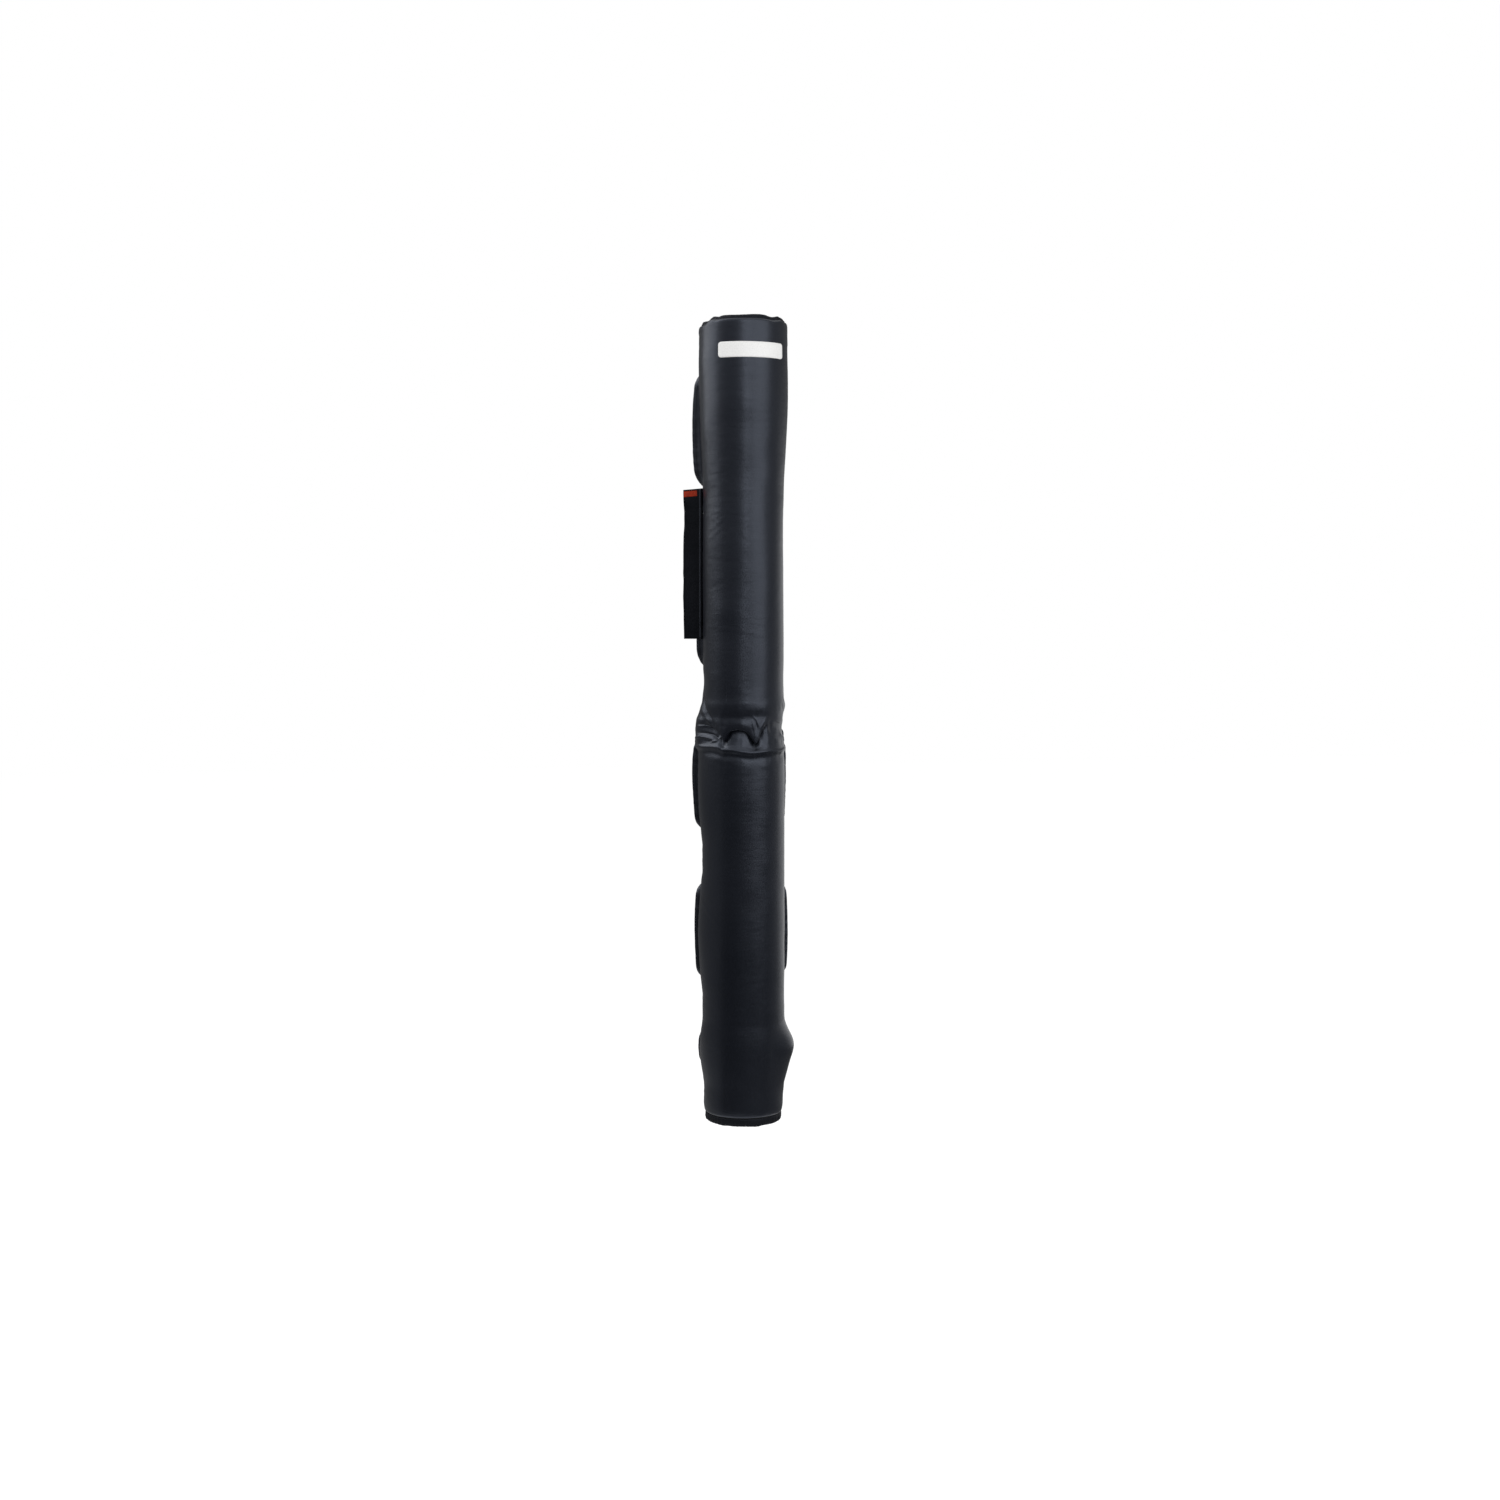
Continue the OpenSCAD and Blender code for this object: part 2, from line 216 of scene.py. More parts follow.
def ends(z):
    """How far the skin turns in at the sleeve's two ends."""
    return 2.5 * (1 - round_over((z - LOW_SEAM) / 16)) + 1.5 * (1 - round_over((HIGH_SEAM - z) / 6))


# The crease where the sleeve is folded in half, as (angle, height) points
# The edge of the upper half, which hangs over the fold in two lobes
EDGE = [
    (-115, 600), (-100, 606), (-88, 610), (-72, 611.5), (-59, 608.5), (-52, 605), (-47, 602), (-42.5, 597),
    (-38.8, 586), (-34.5, 597), (-28, 604.5), (-18, 606), (-8, 605), (-2, 600.5), (4, 590), (8.2, 584),
    (12.5, 590), (16, 602), (22, 609), (31, 613), (49, 615), (68, 609), (84, 604), (98, 608), (115, 603),
]
# The rim of the lower half
RIM = [
    (-115, 574), (-88, 579.5), (-61, 580.5), (-48, 580), (-39, 576.5), (-19, 575.5), (1.3, 572.5), (20, 574),
    (35, 574.8), (55, 573), (80, 576), (115, 572),
]
# Small creases: (angle, height) points, then half-width and height in millimetres
STROKES = [
    # puckers above the right lobe
    ([(3, 626), (8.3, 621), (12.5, 611)], 1.3, 0.6),
    ([(2.7, 619), (5.3, 607), (7, 596)], 1.2, 0.7),
    ([(25, 625), (21.5, 618), (14.5, 608)], 1.3, 0.6),
    ([(8.2, 617), (9.5, 606)], 1.8, -0.9),
    # upright crease above the left lobe
    ([(-34.6, 676), (-34.6, 655)], 0.8, -0.22),
    ([(-34.6, 660), (-34.6, 647)], 1.0, -0.4),
    # folds that run from the left lobe to the left edge
    ([(-95, 598), (-75, 598.5), (-60, 596), (-46, 589)], 1.5, -2.2),
    ([(-95, 591), (-75, 592.5), (-60, 590), (-48, 584)], 2.4, 1.6),
    ([(-92, 611), (-75, 612), (-62, 610), (-52, 606)], 1.2, -1.5),
    ([(-87, 663), (-78, 642), (-66, 628), (-59, 616), (-50, 607)], 3.4, -1.1),
    ([(-97, 655), (-88, 640), (-77, 627), (-66, 617)], 3.4, 0.9),
    ([(-62, 585), (-53, 588), (-46, 594)], 1.6, 1.2),
    ([(-45, 594), (-43, 584), (-41, 578)], 1.5, -1.4),
    # pull lines beside the tag, and two long soft ones across the front
    ([(-63, 927), (-52, 929), (-42, 932)], 1.3, 0.3),
    ([(-63, 919.5), (-52, 922), (-42, 926)], 1.3, 0.34),
    ([(-63, 912), (-50, 914.5), (-37, 920)], 1.3, 0.36),
    ([(-66, 904), (-54, 908), (-43, 914)], 1.4, 0.36),
    ([(-66, 891), (-55, 896), (-45, 903)], 1.4, 0.3),
    ([(-82, 761), (-60, 759), (-8, 752), (49, 739)], 1.6, 0.28),
    ([(-60, 821), (-53, 818)], 1.5, -0.4),
    ([(-89, 345), (-70, 330), (-47, 309)], 2.4, 0.4),
    # folds at the right of the crease and round both sides
    ([(60, 640), (72, 628), (84, 616)], 3.0, -1.4),
    ([(70, 652), (84, 636), (97, 622)], 3.0, 1.1),
    ([(62, 596), (74, 588), (90, 584)], 2.2, 1.3),
    ([(-80, 596), (-92, 590), (-104, 586)], 2.2, 1.2),
    ([(88, 665), (98, 652), (107, 640)], 2.6, -1.1),
    ([(-98, 684), (-104, 668), (-108, 655)], 2.6, -1.2),
]
MM_PER_DEG = 62.5 * math.pi / 180


def soft_line(points, soft):
    """Height as a function of angle along a line of points whose corners are softened."""
    step, reach = 0.25, 12
    p = np.array(points, float)
    x = np.arange(p[0, 0], p[-1, 0] + 0.1, step)
    y = np.interp(x, p[:, 0], p[:, 1])
    k = np.exp(-0.5 * (np.arange(-reach, reach + 1) * step / soft) ** 2)
    y = np.convolve(np.pad(y, reach, mode="edge"), k / k.sum(), mode="valid")
    return lambda a: np.interp(a, x, y)


edge_z, rim_z = soft_line(EDGE, 0.9), soft_line(RIM, 2.0)


def stroke_height(points, half, height, a, z):
    """A soft ridge or valley along a line of points, fading out at its two ends."""
    p = np.array([(turn * MM_PER_DEG, level) for turn, level in points], float)
    x = a * MM_PER_DEG
    shape = np.broadcast(a, z).shape
    near, where = np.full(shape, 1e9), np.zeros(shape)
    lengths = np.linalg.norm(np.diff(p, axis=0), axis=1)
    total, done = lengths.sum(), 0
    for (x0, y0), (x1, y1), length in zip(p[:-1], p[1:], lengths):
        t = np.clip(((x - x0) * (x1 - x0) + (z - y0) * (y1 - y0)) / length**2, 0, 1)
        d = np.hypot(x - (x0 + t * (x1 - x0)), z - (y0 + t * (y1 - y0)))
        where = np.where(d < near, (done + t * length) / total, where)
        near = np.minimum(near, d)
        done += length
    return height * hill(near, 0, half) * (0.35 + 0.65 * np.sin(np.pi * np.clip(where, 0.03, 0.97)))


def crease_share(a):
    """The crease is deep over the front and fades out towards both sides."""
    return (0.1 + 0.9 * smooth((a + 92) / 44)) * (1 - 0.82 * smooth((a - 15) / 14))


def fold(a, z):
    """Radial step at the fold: the upper half ends over a deep crease, the lower half rises to its rim."""
    edge, rim = edge_z(a) + 0.8 * n3.line(a / 9 + 40, 0), rim_z(a) + 0.6 * n3.line(a / 14 + 90, 0)
    share = crease_share(a)
    up = smooth((z - edge + mix(9, 0.6, share)) / mix(22, 3.0, share))
    # inside the crease, and the roll of the upper half's lip
    depth = (9.5 + 1.2 * n4.line(a / 17 + 3, 0)) * share
    s = np.clip((z - rim) / np.maximum(edge - rim, 4), 0, 1)
    below = -depth * s * smooth(s / 0.22)
    roll = -2.4 * share * (1 - round_over((z - edge - 1) / 9)) * (z > edge)
    # the lower half's rim, with a shallow dip under it
    out = 2.0 * hill(z, rim - 1.5, np.where(z < rim - 1.5, 4.5, 2.6)) - 0.9 * hill(z, rim - 11, 5)
    # the upper half bulges over its lip, and is hollow at the right
    out = out + 0.9 * hill(z, 640, 9) - 0.8 * hill(z, 624, 6)
    out = out - 2.6 * smooth((a - 20) / 16) * hill(z, 607, 13)
    # at the left it flares out like a skirt under a narrow neck
    out = out + 8.5 * smooth((-a - 62) / 32) * smooth((650 - z) / 34) * smooth((z - 552) / 52)
    return mix(below, roll, up) + out - 1.8 * smooth((-a - 60) / 30) * hill(z, 676, 16)


def top_sag(a):
    """How far the upper edge is pulled down: towards the left seam, and a little at two spots."""
    return -5.6 * smooth((-a - 56) / 16) - 1.3 * hill(a, -47, 5) - 1.6 * hill(a, 33, 8) + 1.2 * hill(a, 50, 6)


def sag_at(a, z):
    return top_sag(a) * smooth((z - 1178) / 34)


def hang(a, z):
    """How far the lip of the upper half hangs down over the crease, and the sag of the upper edge."""
    return -3.6 * crease_share(a) * hill(z, edge_z(a) + 3.0, 2.6) + sag_at(a, z)


def wrinkles(a, z):
    x = a * MM_PER_DEG
    live = 0.5 + 0.5 * n4(x / 60 + 9, z / 90)
    w = 0.1 * n1(x / 21, z / 5.2) * live + 0.05 * n2(x / 9 + 0.25 * z / 9, z / 3.6)
    w += 0.5 * n3(x / 42 + 5, z / 34) + 0.35 * n1(x / 26 + 50, z / 120)
    w += hill(z, 596, 42) * (0.5 * n2(x / 14 + 7, z / 9 + 3) + 0.3 * n1(x / 6, z / 13 + 9))
    for strap in STRAP_Z:
        w += hill(z, strap, 16) * smooth((np.abs(a) - 62) / 40) * 0.6 * n4(x / 60, z / 5.5 + 21)
    return w + smooth((np.abs(a) - 90) / 14) * 0.45 * n2(x / 30 + 80, z / 7)


def skin_r(a, z):
    """Radius of the finished skin."""
    r = body_r(a, z) + fold(a, z) + wrinkles(a, z)
    for points, half, height in STROKES:
        levels = [level for turn, level in points]
        rows = (z[:, 0] > min(levels) - 4 * half) & (z[:, 0] < max(levels) + 4 * half)
        r[rows] += stroke_height(points, half, height, a[rows], z[rows])
    return mix(seam_out(z, a), r, round_over((WRAP - np.abs(a)) / 9)) - ends(z)


# Meshes
def mesh_piece(name, verts, faces, material, body="sleeve"):
    """A mesh in millimetres becomes a smooth-shaded piece that rides on a body, if one is named."""
    me = bpy.data.meshes.new(name)
    me.from_pydata((np.asarray(verts, float).reshape(-1, 3) / 1000).tolist(), [], faces)
    me.validate()
    me.polygons.foreach_set("use_smooth", [True] * len(me.polygons))
    me.materials.append(material)
    me.update()
    ob = bpy.data.objects.new(name, me)
    scene.collection.objects.link(ob)
    if body:
        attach(ob, body)
    return ob


def flat_shaded(ob):
    for poly in ob.data.polygons:
        poly.use_smooth = False


def loops_to_faces(rows, n, closed=True):
    out = []
    for j in range(rows - 1):
        for i in range(n if closed else n - 1):
            a, b = j * n + i, j * n + (i + 1) % n
            out.append((a, b, b + n, a + n))
    return out


def strip_caps(rows, n):
    """Faces that close the two ends of loops that are folded back on themselves."""
    out, last = [], (rows - 1) * n
    for i in range(n // 2 - 1):
        out.append((i, i + 1, n - 2 - i, n - 1 - i)[::-1])
        out.append((last + i, last + i + 1, last + n - 2 - i, last + n - 1 - i))
    return out


def strip(name, loops, material, body="sleeve"):
    """Piece from an array of closed loops, each a strip that is folded back on itself."""
    loops = np.asarray(loops)
    rows, n = loops.shape[:2]
    faces = loops_to_faces(rows, n) + strip_caps(rows, n)
    return mesh_piece(name, loops, faces, material, body)


# Materials
def new_material(name, colour, roughness, specular=0.5):
    m = bpy.data.materials.new(name)
    m.use_nodes = True
    b = m.node_tree.nodes["Principled BSDF"]
    b.inputs["Base Color"].default_value = (*colour, 1)
    b.inputs["Roughness"].default_value = roughness
    b.inputs["Specular IOR Level"].default_value = specular
    return m, m.node_tree, b


def node(tree, kind, **inputs):
    n = tree.nodes.new(kind)
    for k, v in inputs.items():
        if hasattr(n, k):
            setattr(n, k, v)
        else:
            n.inputs[k.replace("_", " ")].default_value = v
    return n


def stretched(tree, scale):
    co = tree.nodes.new("ShaderNodeTexCoord")
    mp = tree.nodes.new("ShaderNodeMapping")
    mp.inputs["Scale"].default_value = scale
    tree.links.new(co.outputs["Object"], mp.inputs["Vector"])
    return mp.outputs["Vector"]


def noise_texture(tree, scale, **settings):
    n = node(tree, "ShaderNodeTexNoise", **settings)
    tree.links.new(stretched(tree, scale), n.inputs["Vector"])
    return n.outputs["Fac"]


def bump_chain(tree, bsdf, layers):
    """Bumps one after the other: (height socket, strength, distance in metres)."""
    last = None
    for height, strength, distance in layers:
        b = node(tree, "ShaderNodeBump", Strength=strength, Distance=distance)
        tree.links.new(height, b.inputs["Height"])
        if last:
            tree.links.new(last, b.inputs["Normal"])
        last = b.outputs["Normal"]
    tree.links.new(last, bsdf.inputs["Normal"])


def ramp(tree, fac, stops):
    r = tree.nodes.new("ShaderNodeValToRGB")
    for e, (position, colour) in zip(r.color_ramp.elements, stops):
        e.position = position
        e.color = (*colour, 1)
    tree.links.new(fac, r.inputs["Fac"])
    return r.outputs["Color"]


def grey(v):
    return (v, v, v)


def times(colour, k):
    return tuple(k * c for c in colour)


def vinyl_material(name, dark, light, roughness, specular):
    """Coated cloth: a fine grain, faint level ripples and a cloudy colour."""
    m, t, b = new_material(name, dark, roughness, specular)
    b.inputs["Specular Tint"].default_value = (0.74, 0.82, 1.0, 1)
    grain = node(t, "ShaderNodeTexVoronoi", Scale=900.0)
    t.links.new(stretched(t, (1, 1, 1)), grain.inputs["Vector"])
    fine = noise_texture(t, (1, 1, 1.8), Scale=420.0, Detail=3.0)
    ripple = noise_texture(t, (1, 1, 4.2), Scale=38.0, Detail=3.0, Roughness=0.55, Distortion=0.6)
    cloud = noise_texture(t, (1, 1, 0.6), Scale=9.0, Detail=4.0)
    colour = ramp(t, cloud, [(0.3, dark), (0.7, light)])
    gloss = ramp(t, fine, [(0.2, grey(roughness - 0.05)), (0.8, grey(roughness + 0.06))])
    t.links.new(colour, b.inputs["Base Color"])
    t.links.new(gloss, b.inputs["Roughness"])
    layers = [(ripple, 0.16, 0.0012), (grain.outputs["Distance"], 0.14, 0.0003), (fine, 0.2, 0.0003)]
    bump_chain(t, b, layers)
    return m


def woven_material(name, colour, across, along, roughness=0.75, sheen=0.2):
    """Webbing: crossing waves make the weave, and the colour is painted darker between the yarns as shade and
    lighter on their tops.
    """
    m, t, b = new_material(name, colour, roughness, 0.2)
    b.inputs["Sheen Weight"].default_value = sheen
    weft = node(t, "ShaderNodeTexWave", Scale=across, Distortion=0.4, bands_direction="Z")
    warp = node(t, "ShaderNodeTexWave", Scale=along, Distortion=0.4, bands_direction="DIAGONAL")
    place = stretched(t, (1, 1, 1))
    weave = node(t, "ShaderNodeMath", operation="MULTIPLY")
    for i, wave in enumerate((weft, warp)):
        t.links.new(place, wave.inputs["Vector"])
        t.links.new(wave.outputs["Fac"], weave.inputs[i])
    # painted shade between the yarns, and a painted lighter tone on the yarn tops
    stops = [(0.0, times(colour, 0.45)), (0.6, times(colour, 1.3))]
    t.links.new(ramp(t, weave.outputs[0], stops), b.inputs["Base Color"])
    bump_chain(t, b, [(weave.outputs[0], 0.6, 0.0005)])
    return m


def felt_material(name, colour, light, scale, depth, roughness=0.9, sheen=0.3):
    """A rough pile or open cells."""
    m, t, b = new_material(name, colour, roughness, 0.15)
    b.inputs["Sheen Weight"].default_value = sheen
    pile = node(t, "ShaderNodeTexNoise", Scale=scale, Detail=5.0, Roughness=0.7)
    cells = node(t, "ShaderNodeTexVoronoi", Scale=scale * 1.7)
    place = stretched(t, (1, 1, 1))
    t.links.new(place, pile.inputs["Vector"])
    t.links.new(place, cells.inputs["Vector"])
    t.links.new(ramp(t, pile.outputs["Fac"], [(0.3, colour), (0.75, light)]), b.inputs["Base Color"])
    bump_chain(t, b, [(pile.outputs["Fac"], 0.5, depth), (cells.outputs["Distance"], 0.5, depth)])
    return m


def printed_material(name, colour, roughness, specular, grain, stops, relief):
    """A smooth printed face whose colour is faintly mottled."""
    m, t, b = new_material(name, colour, roughness, specular)
    speck = noise_texture(t, (1, 1, 1), Scale=grain, Detail=3.0)
    t.links.new(ramp(t, speck, stops), b.inputs["Base Color"])
    bump_chain(t, b, [(speck, relief, 0.0002)])
    return m


vinyl = vinyl_material("vinyl", (0.0036, 0.0044, 0.0072), (0.0058, 0.0067, 0.01), 0.36, 0.54)
hem_vinyl = vinyl_material("hem_vinyl", (0.006, 0.0066, 0.0088), (0.0095, 0.0102, 0.013), 0.44, 0.5)
end_vinyl = vinyl_material("end_vinyl", (0.004, 0.0045, 0.0062), (0.0065, 0.007, 0.009), 0.5, 0.16)
tag_vinyl = vinyl_material("tag_vinyl", (0.0018, 0.002, 0.0026), (0.0032, 0.0035, 0.0044), 0.5, 0.12)
webbing = woven_material("webbing", (0.018, 0.018, 0.02), 420, 380)
lining_cloth = woven_material("lining_cloth", (0.022, 0.023, 0.027), 300, 300, 0.7, 0.25)
thread = woven_material("thread", (0.008, 0.0085, 0.01), 900, 900, 0.7, 0.0)
loop_felt = felt_material("loop_felt", (0.012, 0.012, 0.014), (0.045, 0.045, 0.05), 900, 0.0009)
hook_plastic = felt_material("hook_plastic", (0.01, 0.01, 0.012), (0.035, 0.035, 0.04), 700, 0.0012, 0.5, 0.0)
foam_cells = felt_material("foam_cells", (0.62, 0.62, 0.58), (0.8, 0.8, 0.76), 600, 0.0012, 0.95, 0.0)
PATCH_TONES = [(0.25, (0.76, 0.76, 0.75)), (0.6, (0.86, 0.86, 0.85))]
BAND_TONES = [(0.3, (0.24, 0.014, 0.003)), (0.7, (0.36, 0.03, 0.006))]
patch_print = printed_material("patch_print", (0.82, 0.82, 0.81), 0.42, 0.4, 700.0, PATCH_TONES, 0.3)
tag_band = printed_material("tag_band", (0.3, 0.022, 0.005), 0.55, 0.15, 500.0, BAND_TONES, 0.2)


# Cover
def skin_faces(rows, outer_n, inner_n):
    """Faces of the closed skin: its wall all round, and the two end rings between outer and inner."""
    n = outer_n + inner_n
    faces = loops_to_faces(rows, n)
    for base, flip in ((0, True), ((rows - 1) * n, False)):
        for i in range(outer_n - 1):
            j0 = min(inner_n - 1, round(i * (inner_n - 1) / (outer_n - 1)))
            j1 = min(inner_n - 1, round((i + 1) * (inner_n - 1) / (outer_n - 1)))
            o0, o1 = base + i, base + i + 1
            p0, p1 = base + n - 1 - j0, base + n - 1 - j1
            face = (o0, o1, p0) if j0 == j1 else (o0, o1, p1, p0)
            faces.append(face[::-1] if flip else face)
    return faces


def cover_piece():
    skin_t, tuck_in, tuck_up, inner_n = 1.6, 3.2, 0.7, 25
    rows = spaced(
        (LOW_SEAM, 34, 1.6), (34, 545, 3.0), (545, 566, 1.6), (566, 622, 0.9), (622, 660, 1.6),
        (660, 1196, 3.0), (1196, HIGH_SEAM, 1.3),
    )
    cols = spaced(
        (-WRAP, -66, 1.2), (-66, -42, 0.9), (-42, -27, 0.55), (-27, 0, 1.0), (0, 26, 0.7), (26, WRAP, 1.2)
    )
    a, z = np.meshgrid(cols, rows)
    r = skin_r(a, z)
    outer = at(r, a, z + hang(a, z))
    # the inside follows the deepest creases nearby
    inner_cols = np.linspace(WRAP, -WRAP, inner_n)
    inner_a, inner_z = np.meshgrid(inner_cols, rows)
    low_r = np.minimum.reduce([np.roll(r, s, axis=1) for s in (-9, -6, -3, 0, 3, 6, 9)])
    inner_r = np.stack([np.interp(inner_cols[::-1], cols, row)[::-1] for row in low_r]) - skin_t
    inner = at(inner_r, inner_a, inner_z + sag_at(inner_a, inner_z))
    loops = np.concatenate([outer, inner], axis=1)
    # the edge is tucked in under each end hem
    tucks = []
    for row, rise in ((loops[0].copy(), -tuck_up), (loops[-1].copy(), tuck_up)):
        skin = row[: len(cols), :2]
        skin *= (1 - tuck_in / np.linalg.norm(skin, axis=1))[:, None]
        row[:, 2] += rise
        tucks.append(row)
    loops = np.concatenate([[tucks[0]], loops, [tucks[1]]])
    return mesh_piece("cover_skin", loops, skin_faces(len(loops), len(cols), inner_n), vinyl)


cover = cover_piece()
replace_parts(cover, "cover")


# Stitches: one short bent bead of thread for each
def stitches(name, points, normals, along, length, body="sleeve"):
    """Six-sided beads at points, lying along one direction and bent away from the cloth."""
    thread_r, bend, sides = 0.34, 0.22, 6
    stations = (-0.5, -0.3, 0, 0.3, 0.5)
    verts, faces = [], []
    for p, normal, t in zip(points, normals, along):
        side = np.cross(normal, t)
        base = len(verts)
        for u in stations:
            r = thread_r * (1 - (2 * u) ** 4 * 0.75)
            lift = bend * (1 - (2 * u) ** 2)
            for k in range(sides):
                q = math.radians(360 / sides * k)
                verts.append(p + t * length * u + normal * (lift + r * math.sin(q)) + side * r * math.cos(q))
        for j in range(len(stations) - 1):
            for k in range(sides):
                a, b = base + j * sides + k, base + j * sides + (k + 1) % sides
                faces.append((a, b, b + sides, a + sides))
        last = base + (len(stations) - 1) * sides
        faces.append(tuple(base + k for k in reversed(range(sides))))
        faces.append(tuple(last + k for k in range(sides)))
    mesh_piece(name, verts, faces, thread, body)


def ring_stitches(name, a, section, share):
    """Stitches round an end hem, at a share of its height."""
    pitch, inset, ring_r = 3.2, 1.2, 58
    r, z = section[round(share * (len(section) - 1))]
    count = int(math.radians(a[-1] - a[0]) * ring_r / pitch)
    turns = np.linspace(a[0] + inset, a[-1] - inset, count)
    points = at(np.interp(turns, a, r), turns, np.interp(turns, a, z))
    t = np.radians(turns)
    normals = np.stack([np.sin(t), -np.cos(t), 0 * t], axis=-1)
    along = np.stack([np.cos(t), np.sin(t), 0 * t], axis=-1)
    stitches(name, points, normals, along, pitch * 0.72)


# Hems round the two ends
def end_hem(name, seam_z, tip, sag, r_out, lean, wave):
    """Folded strip round an end, from the seam to its tip. Returns it with its outer section."""
    a = hem_angles()
    up = seam_z > PAD_H / 2
    pucker = 0.35 * n2.line(a / 1.7, 3) + 0.25 * n1.line(a / 0.9, 8)
    section = []
    for t in np.linspace(0, 1, 9):
        out = r_out - lean * t + wave * t + pucker * (0.4 + t) + 0.5 * np.sin(np.pi * t)
        section.append((out, mix(seam_z + sag, tip, t)))
    loop = [at(r, a, z) for r, z in section]
    # the fold at the tip
    tip_r, tip_z = section[-1]
    fold_r = HEM_T / 2
    for q in (math.radians(45), math.radians(135)):
        loop.append(at(tip_r - fold_r + fold_r * math.cos(q), a, tip_z + (0.5 if up else -0.5) * math.sin(q)))
    loop += [at(r - HEM_T, a, z) for r, z in section[::-1]]
    loops = np.stack(loop, axis=1)
    return strip(name, loops if up else loops[:, ::-1], end_vinyl), section


def hem_angles():
    return np.linspace(-WRAP - 0.5, WRAP + 0.5, 321)


def hem_wave(a, size):
    t = np.radians(a)
    return size * (np.sin(3.1 * t + 0.7) + 0.6 * np.sin(7.3 * t)) / 1.6


def top_hem():
    ripple, a = 0.8, hem_angles()
    wave, sag = hem_wave(a, ripple), top_sag(a)
    tip = PAD_H - 0.3 + (wave - ripple) + sag
    return end_hem("top_hem_strip", 1212.2, tip, sag, 62.5, 2.4, wave)


def bottom_hem():
    a = hem_angles()
    tip = 0.6 + (0.8 + 0.7 * n3.line(a / 11, 0)) + 0.9 * smooth((np.abs(a) - 70) / 30)
    return end_hem("bottom_hem_strip", 12.6, tip, 0, SEAM_R, 0.7, hem_wave(a, 0.6))


top_strip, top_section = top_hem()
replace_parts(top_strip, "top_hem")
bottom_strip, bottom_section = bottom_hem()
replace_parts(bottom_strip, "bottom_hem")
ring_stitches("top_stitches", hem_angles(), top_section, 0.5)
ring_stitches("bottom_stitches", hem_angles(), bottom_section, 0.62)


# Hems down the two long edges
def pull(strap_in):
    """Angle to which a strap of this inner radius draws its hem."""
    return -math.degrees(math.acos((strap_in - HEM_GAP) / SEAM_R))


def crush(z, half):
    """The fold at the middle crushes the hems."""
    return hill(z, 594, half)


def side_hem_lean(z, side):
    """Angle of the free flap: drawn to the pole at each strap, flared between them."""
    flare = np.array(LEFT_FLARE if side < 0 else RIGHT_FLARE)[span(z)]
    quick = np.where(z < STRAP_Z[1], 1.0, 1.6)
    lean = mix(pull(HOOK_IN if side < 0 else LOOP_IN), flare, smooth(quick * hump(z)))
    return lean + 7 * n3.line(z / 45, 5 + side) * hump(z) + crush(z, 16) * 30 * n2.line(z / 6.5, 13)


def side_hem_middle(z, side):
    """Middle line of the strip at each height: out along the wall, round the seam, then the free flap."""
    t = np.radians(side * HEM_TURN)
    rad = np.array([math.sin(t), -math.cos(t), 0])
    d = np.radians(HEM_TURN - side_hem_lean(z, side))
    out = np.stack([side * np.cos(d), np.sin(d), 0 * d], axis=-1)
    level = np.stack([0 * z, 0 * z, z], axis=-1)
    root = rad * (BORE_R + LINING_T) + level
    bend = rad * seam_out(z, side)[:, None] + level
    middle = [mix(root, bend, s) for s in (0, 0.33, 0.66)]
    for s in (-3.0, -1.5, 0.0, 1.5, 3.0):
        w = smooth((s + 3.2) / 6.4)
        if s:
            middle.append(bend + (rad * s * (1 - w) if s < 0 else 0) + out * s * w)
        else:
            middle.append(bend + (out - rad) * 0.25)
    pucker = 0.5 * n1.line(z / 5.5 + 11 * side, 4) + 0.25 * n2.line(z / 2.4, 2)
    crimp = 0.9 * crush(z, 16) * n1.line(z / 3.1, 31)
    width = HEM_W + 0.7 * n4.line(z / 60, side) - 2.2 * crush(z, 16)
    across = np.stack([-out[:, 1], out[:, 0], 0 * z], axis=-1) * side
    for s in (0.36, 0.52, 0.68, 0.84, 1.0):
        curl = pucker * s + crimp * s + 0.5 * np.sin(np.pi * s)
        middle.append(bend + out * (width * s)[:, None] + across * curl[:, None])
    return np.stack(middle, axis=1)


def unit(v):
    return v / np.linalg.norm(v, axis=-1, keepdims=True)


